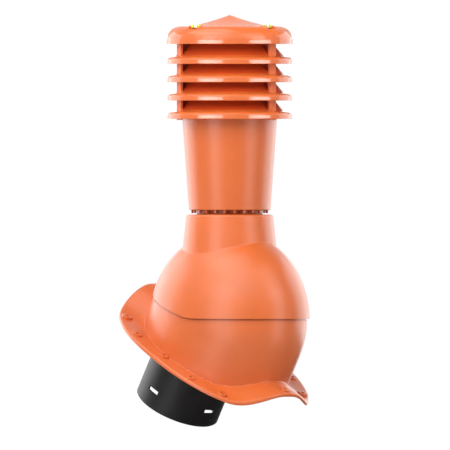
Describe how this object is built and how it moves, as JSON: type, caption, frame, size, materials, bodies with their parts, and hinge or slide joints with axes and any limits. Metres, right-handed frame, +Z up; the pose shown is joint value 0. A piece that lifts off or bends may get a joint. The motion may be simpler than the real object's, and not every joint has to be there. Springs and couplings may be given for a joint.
{
  "type": "roof vent pipe",
  "caption": "Upright plastic roof vent pipe with a louvred head and cap, on a domed tilting base with a wavy roof flange and a black duct stub below.",
  "frame": {"origin": "where the housing's axis, square to the roof, meets the mean plane of the roof", "axes": "+Z up, plumb, along the vent pipe; the roof falls towards -Y at 30 degrees; +X across the roof, along the pivot line"},
  "size_m": [0.248, 0.2911, 0.5974],
  "materials": {
    "orange_plastic": "satin brick-orange plastic",
    "black_plastic": "satin near-black plastic",
    "level_liquid": "clear yellow-green level vial"
  },
  "bodies": {
    "roof_base": {"base_flange": "orange_plastic", "duct_stub": "black_plastic"},
    "vent_head": {"dome_hood": "orange_plastic", "vent_pipe": "orange_plastic", "louvre_ring_1": "orange_plastic", "louvre_ring_2": "orange_plastic", "louvre_ring_3": "orange_plastic", "louvre_ring_4": "orange_plastic", "cap_cover": "orange_plastic", "level_vial_left": "level_liquid", "level_vial_front": "level_liquid"}
  },
  "joints": [
    {"name": "pitch_tilt", "type": "hinge", "parent": "roof_base", "child": "vent_head", "pos_m": [0, -0.0225, 0.03897], "axis": [1, 0, 0], "range_deg": [0, 25]}
  ]
}
